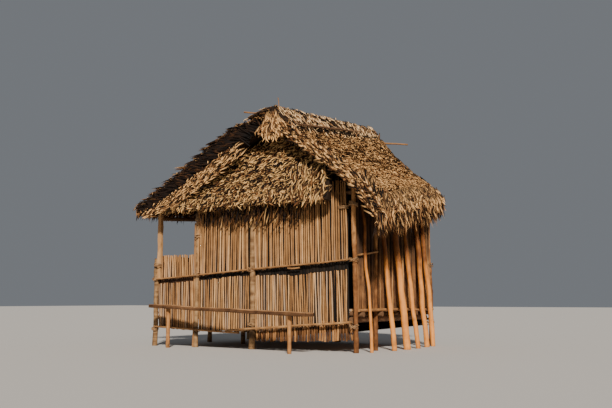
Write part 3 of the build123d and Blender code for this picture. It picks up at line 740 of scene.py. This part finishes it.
def fringe(weave, face, density, hang, length, depth, width=(0.014, 0.026), yaw=0.0, out=0.0, inset=(0.0, 0.07),
           tones=(0.0, 0.9), spread=0.3, tuck=0.06, reach=None):
    """Leaf ends that hang from a face's lower edge. hang is how far they turn from the fall to straight down.

    They start at the edge, or end within reach of it where that is given."""
    count = int(density * (face.high - face.low))
    place = rng.uniform(face.low, face.high, count)
    distance = rng.uniform(*inset, count)
    spot, normal, fall = face.at(place, distance)
    turn = np.clip(rng.normal(hang, 0.18, count), 0, 1.3)[:, None]
    direction = unit(fall * (1 - turn) + DOWN * turn + normal * out)
    direction = turned(direction, normal, angles(yaw, place, distance, spread))
    size, wide = leaf_sizes(count, length, width)
    below = rng.uniform(*depth, count)
    past = rng.uniform(*reach, count) if reach else size - tuck * rng.uniform(0.6, 1.3, count)
    leaves(weave, spot - normal * below[:, None] + direction * past[:, None], direction, normal, size, wide,
           rng.uniform(-0.02, 0.02, count), rng.normal(0.008, 0.012, count), rng.uniform(*tones, count))


def verge(weave, face, place, outward, density, down_share, out_share, thickness, tones, length, spread,
          lift_angle=0.05, bundle=0.0):
    """Leaves on the end of a slab: they follow the fall and cover its thickness."""
    top = face.length_at(place) - VERGE_GAP
    count = int(density * top)
    distance = rng.uniform(0, top, count)
    if bundle:
        distance = np.clip(np.floor(distance / bundle) * bundle + rng.exponential(bundle * 0.22, count), 0, top)
    spot, normal, fall = face.at(np.full(count, place), distance)
    out = ALONG_Y * outward
    below = rng.uniform(*thickness, count)
    direction = unit(fall + DOWN * down_share + out * out_share)
    plane = np.broadcast_to(out, direction.shape)
    tip_up = np.sign((np.cross(direction, plane) * normal).sum(1))
    direction = turned(direction, plane, tip_up * (lift_angle + np.abs(rng.normal(0, spread, count))))
    size, wide = leaf_sizes(count, length, (0.014, 0.024))
    tip = spot - normal * below[:, None] + out * rng.uniform(0.0, 0.03, count)[:, None]
    tip = tip + direction * rng.uniform(-0.03, 0.03, count)[:, None]
    leaves(weave, tip, direction, unit(normal * 0.35 + out), size, wide, rng.uniform(0.0, 0.04, count),
           rng.normal(0.004, 0.008, count), rng.uniform(*tones, count))


def core(node, shrink, name, slot):
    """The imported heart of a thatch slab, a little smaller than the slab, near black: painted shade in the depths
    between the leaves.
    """
    work = welded(node)
    bmesh.ops.triangulate(work, faces=work.faces)
    work.normal_update()
    points = np.array([v.co - v.normal * shrink for v in work.verts])
    faces = np.array([[v.index for v in f.verts] for f in work.faces])
    work.free()
    corner = points[faces.ravel()]
    weave = Weave()
    weave.add(points, faces, np.stack([corner[:, 1] + corner[:, 0] * 0.3, corner[:, 0] + corner[:, 2]], 1), 0.5, 0.0)
    weave.build(name, SHADED_CORE, slot, node)


right_face = Face("roof_slope_right", 1, 0, -1, DOWN, 160)
left_face = Face("roof_slope_left", 1, 0, 1, DOWN, 160)
cap_right = Face("ridge_cap", 1, 0, -1, DOWN, 60)
cap_left = Face("ridge_cap", 1, 0, 1, DOWN, 60)
front_skirt = Face("front_skirt", 0, 2, 1, (0, 1, 0), 90)
back_skirt = Face("back_skirt", 0, 2, 1, (0, -1, 0), 90)

core("roof_slope_right", 0.045, "roof_right_core", "thatch")
core("roof_slope_left", 0.05, "roof_left_core", "thatch")
core("ridge_cap", 0.02, "ridge_core", "ridge_thatch")
core("front_skirt", 0.035, "front_skirt_core", "skirt_thatch")
core("back_skirt", 0.035, "back_skirt_core", "skirt_thatch")


def slope_yaw(place, distance):
    """Leaves of the right slope turn towards the front, less and less near its lower edge."""
    return 0.32 - 0.3 * np.clip(1 - distance / 0.7, 0, 1)


def teeth(weave, face, place, outward, pitch=0.14, count=18):
    """Bundles of leaf ends that stand out sideways from the edge of the left slope, one bundle a course."""
    for middle in np.arange(0.05, face.length_at(place) - 0.35, pitch):
        middle += rng.uniform(-0.025, 0.025)
        inset = np.abs(rng.normal(0, 0.05, count))
        spot, normal, _ = face.at(place - outward * inset, np.full(count, middle))
        reach = min(rng.uniform(0.08, 0.17), 0.085 + 0.12 * middle) * rng.uniform(0.25, 1.0, count) ** 0.6
        dip = rng.uniform(-0.28, 0.05) + rng.normal(0, 0.07, count)
        level = unit(np.stack([-np.ones(count), outward * rng.uniform(-0.1, 0.15, count), dip], 1))
        size, wide = leaf_sizes(count, (0.18, 0.32), (0.014, 0.026))
        root = spot - normal * rng.uniform(0.0, 0.035, count)[:, None]
        leaves(weave, root + level * reach[:, None], level, normal, size, wide, rng.uniform(-0.006, 0.006, count),
               rng.normal(0.0, 0.004, count), rng.uniform(0.0, 0.6, count))


def shoulder(weave, face, place, outward, count=1750):
    """Skirt leaves that come out from under the left slope and cover the lower half of its edge."""
    distance = rng.uniform(0.02, face.length_at(place) - 0.05, count)
    spot, normal, _ = face.at(np.full(count, place), distance)
    turn = rng.normal(0.75, 0.35, count)
    ways = np.stack([-np.sin(turn), outward * rng.uniform(0.1, 0.4, count), -np.cos(turn)], 1)
    size, wide = leaf_sizes(count, (0.07, 0.14), (0.012, 0.022))
    rise = np.clip((spot[:, 0] - face.points[0, 0, 0]) / 1.5, 0, 1)
    keep = rng.random(count) > rise ** 5
    slab = np.interp(distance, (0.0, 0.5), (0.6, 1.0))
    tips = spot - normal * (rng.uniform(0.175, 0.35, count) * slab + 0.06 * rise)[:, None]
    tips[:, 1] += outward * rng.uniform(0.0, 0.03, count)
    hole = (np.abs(tips[:, 0] - GABLET[0]) < 0.14) & (np.abs(tips[:, 2] - GABLET[1]) < 0.09)
    tips[hole, 1] -= outward * 0.2
    tilt = np.tile([-0.2, outward, 0.35], (count, 1))
    leaves(weave, tips[keep], ways[keep], tilt[keep], size[keep], wide[keep], rng.uniform(0.0, 0.02, keep.sum()),
           rng.normal(0.004, 0.006, keep.sum()), rng.uniform(0.05, 1.0, keep.sum()))


for face, label in ((right_face, "right"), (left_face, "left")):
    right = label == "right"
    weave = Weave()
    thatch(weave, face, 0.046, 156 if right else 146, slope_yaw if right else 0.05, 0.55, (0.05, 0.125),
           (0.009, 0.0185), (-0.045, 0.012) if right else (-0.047, 0.006), 0.2, last_gap=0.12)
    if right:
        # A second, paler pass over the slope's lower part: painted light, which brings that steeper part, turned from
        # the sun, up to the brightness above.
        thatch(weave, face, 0.06, 48, slope_yaw, 0.6, (0.06, 0.12), (0.011, 0.02), (-0.005, 0.018), 0.1,
               last_gap=1.1, tones=(0.4, 0.95))
    weave.build("roof_" + label + "_leaves", THATCH, "thatch", "roof_slope_" + label)
    weave = Weave()
    if right:
        fringe(weave, face, 620, 0.8, (0.14, 0.3), (0.0, 0.1), yaw=0.1, out=0.03, tones=(0.0, 0.78))
        fringe(weave, face, 420, 1.0, (0.2, 0.36), (0.03, 0.12), yaw=0.05, tones=(0.0, 0.65))
        fringe(weave, face, 560, 0.3, (0.09, 0.17), (-0.02, 0.03), yaw=0.2, out=0.03, spread=0.45,
               inset=(0.0, 0.2), tones=(0.25, 1.0))
    else:
        fringe(weave, face, 520, 0.35, (0.1, 0.2), (0.0, 0.1), yaw=-0.1)
        fringe(weave, face, 260, 0.7, (0.1, 0.2), (0.04, 0.12), yaw=-0.1, tones=(0.0, 0.6))
    for place, outward in ((face.low, -1), (face.high, 1)):
        if right:
            verge(weave, face, place, outward, 700, 0.6, 0.12, (0.0, 0.13), (0.0, 0.9), (0.06, 0.14), 0.35)
        else:
            # The left verge's leaves are toned dark: painted shade on this end of the slab, which faces the sun.
            verge(weave, face, place, outward, 520, -0.3, 0.08, (0.025, 0.145), (0.0, 0.3), (0.12, 0.22), 0.2,
                  lift_angle=0.06, bundle=0.14)
            teeth(weave, face, place, outward)
            shoulder(weave, face, place, outward)
    weave.build("roof_" + label + "_edges", THATCH, "thatch", "roof_slope_" + label)

for face, label, yaw in ((cap_right, "right", 1), (cap_left, "left", -1)):
    weave = Weave()
    thatch(weave, face, 0.058, 104, 0.42 * yaw, 0.3, (0.12, 0.25), (0.014, 0.029), (-0.045, 0.004), 0.1,
           sunk=(0.015, 0.04), past=0.0)
    fringe(weave, face, 120, 0.0, (0.12, 0.22), (0.015, 0.04), width=(0.013, 0.025), yaw=0.4 * yaw, spread=0.4,
           tones=(0.0, 1.0), tuck=0.08)
    weave.build("ridge_" + label + "_leaves", RIDGE, "ridge_thatch", "ridge_cap")


def skirt_yaw(outward):
    """Skirt leaves lean towards the veranda, most of all at that end."""
    def yaw(place, distance):
        share = np.clip((place - front_skirt.low) / (front_skirt.high - front_skirt.low), 0, 1)
        lean = np.radians(52) * (1 - share) ** 0.8 + np.radians(10)
        return -outward * lean * np.clip(0.5 + distance / 0.35, 0, 1)
    return yaw


for face, (label, outward) in zip((front_skirt, back_skirt), GABLES):
    face.high -= 0.055
    weave = Weave()
    yaw = skirt_yaw(outward)
    thatch(weave, face, 0.038, 174, yaw, 0.5, (0.05, 0.11), (0.0085, 0.0175), (-0.035, 0.018), 0.17)
    fringe(weave, face, 420, 0.1, (0.08, 0.18), (0.0, 0.1), width=(0.010, 0.019), yaw=yaw, spread=0.35,
           reach=(-0.03, 0.065))
    # The next two cover only the veranda's end of the skirt, and then only its other end
    whole = face.high
    face.high = INNER_X + ORIGIN[0] + 0.02
    fringe(weave, face, 800, 0.8, (0.1, 0.2), (0.0, 0.12), width=(0.012, 0.022), yaw=yaw, reach=(-0.04, 0.06),
           tones=(0.1, 0.95))
    face.low, face.high = whole - 0.48, whole
    fringe(weave, face, 290, 0.1, (0.1, 0.18), (-0.04, 0.01), width=(0.013, 0.023), yaw=outward * -0.15,
           spread=0.42, inset=(0.0, 0.42), tones=(0.2, 1.0))
    weave.build(label + "_skirt_leaves", SKIRT, "skirt_thatch", label + "_skirt")


# Peak leaves, loose strands and odd sticks

def strands(weave, tips, directions, normal, size, width, tones):
    """Single leaf ends, all facing one way. size is a range of lengths or a length a leaf."""
    count = len(tips)
    if isinstance(size, tuple):
        size = rng.uniform(*size, count)
    wide = rng.uniform(*width, count)
    leaves(weave, tips, directions, np.tile(normal, (count, 1)), size, wide, rng.uniform(0.0, 0.015, count),
           rng.normal(0, 0.012, count), rng.uniform(*tones, count))


weave = Weave()
for verge_y, outward in ((right_face.low, -1.0), (right_face.high, 1.0)):
    count = 380
    crown = cap_right.at(np.full(1, verge_y), cap_right.length_at(np.full(1, verge_y)))[0][0]
    size = rng.uniform(0.07, 0.15, count)
    out = size * 0.95 + rng.uniform(0, 1, count) ** 1.3 * 0.26
    fan = np.where(rng.random(count) < 0.6, rng.uniform(-0.1, 0.85, count), rng.uniform(-0.72, 0.3, count))
    tips = np.stack([crown[0] + 0.03 + np.sin(fan) * out, verge_y + outward * rng.uniform(-0.01, 0.03, count),
                     crown[2] - 0.075 - np.cos(fan) * out], 1)
    ways = np.stack([np.sin(fan + rng.normal(0, 0.5, count)), outward * rng.uniform(0, 0.15, count), -np.cos(fan)], 1)
    strands(weave, tips, ways, [0, outward, 0.25], size, (0.013, 0.024), (0.3, 1.0))
weave.build("peak_leaves", THATCH, "thatch", "ridge_cap")

weave = Weave()
count = 150
corner = right_face.at(np.full(1, right_face.low), np.zeros(1))[0][0]
tips = corner + np.stack([rng.uniform(-0.33, 0.0, count), rng.uniform(0.0, 0.16, count), np.zeros(count)], 1)
tips[:, 2] += 1.15 * (corner[0] - tips[:, 0]) - rng.uniform(0.08, 0.25, count)
ways = np.stack([rng.normal(0.1, 0.25, count), rng.normal(0, 0.15, count), -np.ones(count)], 1)
strands(weave, tips, ways, [0.3, -1.0, 0.2], (0.16, 0.3), (0.012, 0.022), (0.0, 0.8))
weave.build("verge_strands", THATCH, "thatch")

weave = Weave()
# Strands that hang from the skirt and cast ragged shadows on the wall; the second group is toned darkest: painted
# shade, for strands that hang in the skirt's shadow.
for count, run, inset, heights, drift, sway, length, width, tones in (
        (90, (-1.80, -0.72), (-0.20, -0.04), (1.42, 1.66), (-0.25, 0.3), 0.15, (0.12, 0.28), (0.008, 0.018),
         (0.0, 0.65)),
        (170, (-2.2, -0.5), (-0.17, -0.05), (1.47, 1.62), (-0.12, 0.15), 0.1, (0.1, 0.22), (0.007, 0.014),
         (0.0, 0.4))):
    tips = np.stack([rng.uniform(*limits, count) for limits in (run, inset, heights)], 1) + ORIGIN
    ways = np.stack([rng.normal(*drift, count), rng.normal(0, sway, count), -np.ones(count)], 1)
    strands(weave, tips, ways, [0, -1.0, 0.2], length, width, tones)
weave.build("skirt_strands", SKIRT, "skirt_thatch")

# Sticks laid along the lower edge of the ridge cap, and the odd ones that stand out of the roof and the wall
stick = {"sides": 7, "step": 0.06, "wander": 0.006, "dent": 0.1}
weave = Weave()
for first, last, over, radius in ((0.02, 0.62, 0.0, 0.010), (0.0, 0.33, 0.02, 0.008), (0.2, 0.75, 0.015, 0.008)):
    places = cap_right.low + (cap_right.high - cap_right.low) * np.linspace(first, last, 8)
    line, lifted, _ = cap_right.at(places, np.full(8, 0.01 + over))
    rough_pole(weave, line + lifted * 0.02, radius, **stick)
weave.build("cap_sticks", ROOF_POLE, "roof_poles")
weave = Weave()
for start, end, radius in ((hut(-0.81, 2.35, 2.825), hut(-0.415, 2.35, 2.77), 0.012),
                           (hut(-0.19, 2.34, 2.21), hut(-0.03, 2.35, 1.99), 0.006),
                           (hut(-1.342, -0.29, 2.846), hut(-1.047, -0.27, 2.80), 0.009),
                           (hut(-0.862, -0.26, 2.82), hut(-0.862, -0.27, 2.97), 0.005),
                           (hut(-0.878, -0.03, 0.962), hut(-0.71, -0.03, 0.966), 0.009),
                           (hut(0.26, -0.03, 1.80), hut(0.42, 0.02, 1.80), 0.011)):
    rough_pole(weave, [start, end], radius, **stick)
weave.build("roof_sticks", POLE, "roof_poles")


# Bench plank, squared post, deck and inner ledgers

# The corners of a board's section, in halves of its width and thickness
BOARD = np.array([(-1, -0.7), (-0.93, -1), (0.93, -1), (1, -0.7), (1, 0.7), (0.93, 1), (-0.93, 1), (-1, 0.7)])


def hewn_board(weave, start, end, side, up, width, thickness, rough, tone, step=0.05, top_highlight=0.0):
    """A board with uneven edges along a straight run. top_highlight lightens its top face and upper edges: a painted
    highlight.
    """
    start, end = np.asarray(start, float), np.asarray(end, float)
    span = np.linalg.norm(end - start)
    count = max(4, int(span / step))
    share = np.linspace(0, 1, count)
    middle = start + (end - start) * share[:, None] + up * smooth_noise(count, 6, rough)[:, None]
    half_width = width / 2 * (1 + smooth_noise(count, 9, 0.05))
    half_depth = thickness / 2 * (1 + smooth_noise(count, 9, 0.07))
    ring = (middle[:, None, :] + (BOARD[None, :, 0] * half_width[:, None])[..., None] * side
            + (BOARD[None, :, 1] * half_depth[:, None])[..., None] * up)
    ring = ring + rng.normal(0, 0.0012, ring.shape)
    section = BOARD * [width / 2, thickness / 2]
    fan = np.concatenate([np.roll(section, -1, 0), section, np.zeros_like(section)], 1).reshape(-1, 2)
    faces, grain = skin(distances(np.vstack([section, section[:1]])), share * span, fan)
    tones = np.tile(tone + top_highlight * (BOARD[:, 1] > 0.9), count)
    points = np.vstack([ring.reshape(-1, 3), middle[:1], middle[-1:]])
    weave.add(points, faces, grain, np.append(tones, [tone, tone]), 0.0)


def board_axes(node):
    """The ends, side, up, width and thickness of a board from its CAD solid."""
    points = solids_of(node)[0]
    centre = points.mean(0)
    _, _, axes = np.linalg.svd(points - centre, full_matrices=False)
    spans = [np.ptp((points - centre) @ axis) for axis in axes]
    run = axes[0] * spans[0] / 2
    up = np.cross(axes[0], axes[1])
    facing = 1 if up[2] > 0 else -1
    return centre - run, centre + run, axes[1] * facing, up * facing, spans[1], spans[2]


weave = Weave()
# The plank's top is toned lighter than its face: a painted highlight where the sun catches it.
hewn_board(weave, *board_axes("bench_plank"), rough=0.002, tone=0.16, top_highlight=0.6)
weave.build("bench_plank_hewn", PLANK, "bench_wood", "bench_plank")

low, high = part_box("front_outer_upper_post")
square = (high.x - low.x) * 0.95
x, y = (low.x + high.x) / 2, (low.y + high.y) / 2
weave = Weave()
hewn_board(weave, (x, y, low.z), (x + 0.004, y, high.z), ALONG_X, ALONG_Y, square, square, rough=0.003, tone=1.0)
weave.build("front_outer_upper_post_hewn", POLE, "post_wood", "front_outer_upper_post")

low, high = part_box("floor_deck")
weave = Weave()
strip, drawn_in = 0.052, 0.062
for number in range(int((high.y - low.y - 2 * drawn_in) / strip)):
    y = low.y + drawn_in + (number + 0.5) * strip
    z = (low.z + high.z) / 2 + rng.normal(0, 0.002)
    hewn_board(weave, (low.x + rng.uniform(0, 0.02), y, z),
               (high.x - rng.uniform(0, 0.015), y + rng.normal(0, 0.002), z), ALONG_Y, UP, strip * 0.94,
               high.z - low.z, rough=0.002, tone=rng.uniform(0, 1), step=0.16)
weave.build("floor_deck_strips", STEM, "deck_wood", "floor_deck")

# Near-black poles inside the front and back walls, behind the lower batten: painted shade in the gaps between the
# stems there
weave = Weave()
for wall_y, inward in ((0.0, 1), (BACK_Y, -1)):
    for drop in (0.0, 0.033, 0.066):
        line = np.array([hut(x, wall_y + inward * 0.085, 0) for x in np.linspace(-1.42, -0.06, 5)])
        line[:, 2] = np.linspace(0.192, 0.344, 5) - drop
        rough_pole(weave, line, 0.019, sides=8, step=0.08, wander=0.002, dent=0.05)
weave.build("inner_ledgers", SHADE_BLACK, "roof_poles")

# Vine ties
weave = Weave()
for x, radius in ((0.0, 0.05), (MIDDLE_X, 0.042), (INNER_X, 0.042), (OUTER_X, 0.038)):
    for wall_y, outward in ((0.0, -1), (BACK_Y, 1)):
        shared = hut(x, wall_y + outward * 0.012, 0)
        for height in (float(mid_batten(shared[0])), 0.30 if x > MIDDLE_X - 0.1 else 0.22):
            for slant in (-0.5, 0.5):
                shared[2] = height
                lashing(weave, shared, UP + ALONG_X * slant, radius, radius + 0.012, 2, 0.0035)
for x, z, radius in ((MIDDLE_X, 1.575, 0.042), (INNER_X, 1.40, 0.04), (0.0, 1.68, 0.048), (INNER_X, 1.60, 0.036),
                     (OUTER_X + 0.04, 1.05, 0.06)):
    lashing(weave, hut(x, -0.005, z), UP, radius, radius, 5, 0.005)
lashing(weave, hut(-0.13, -0.005, 1.66), UP, 0.07, 0.034, 4, 0.005)
weave.build("vine_ties", CORD, "post_wood")

# Camera, floor and light
camera_data = bpy.data.cameras.new("camera")
camera_data.lens = 50
camera_data.sensor_width = 36
camera = linked("camera", camera_data)
camera.location = hut(4.64, -8.45, 0.59)
camera.rotation_euler = (math.radians(90 + 6.44), 0, math.radians(32))
bpy.context.scene.camera = camera

floor_mesh = bpy.data.meshes.new("floor")
floor_mesh.from_pydata([(-60, -60, 0), (60, -60, 0), (60, 60, 0), (-60, 60, 0)], [], [(0, 1, 2, 3)])
floor = linked("floor", floor_mesh)
floor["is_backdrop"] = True
floor_paint = bpy.data.materials.new("floor_paint")
floor_paint.use_nodes = True
floor_shader = floor_paint.node_tree.nodes["Principled BSDF"]
floor_shader.inputs["Base Color"].default_value = (0.52, 0.50, 0.475, 1)
floor_shader.inputs["Roughness"].default_value = 0.9
floor_mesh.materials.append(floor_paint)

sun_data = bpy.data.lights.new("key", "SUN")
sun_data.energy = 5.4
sun_data.angle = math.radians(5)
sun_data.color = (1.0, 0.93, 0.83)
SUN_SIDE, SUN_HEIGHT = math.radians(35.5), math.radians(33)
toward = Vector((math.sin(SUN_SIDE) * math.cos(SUN_HEIGHT), -math.cos(SUN_SIDE) * math.cos(SUN_HEIGHT),
                 math.sin(SUN_HEIGHT)))
linked("key", sun_data).rotation_euler = toward.to_track_quat("Z", "Y").to_euler()
world = bpy.data.worlds.new("world")
bpy.context.scene.world = world
world.use_nodes = True
sky = world.node_tree.nodes["Background"].inputs
sky[0].default_value = (0.86, 0.92, 1, 1)
sky[1].default_value = 0.2

low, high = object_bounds()
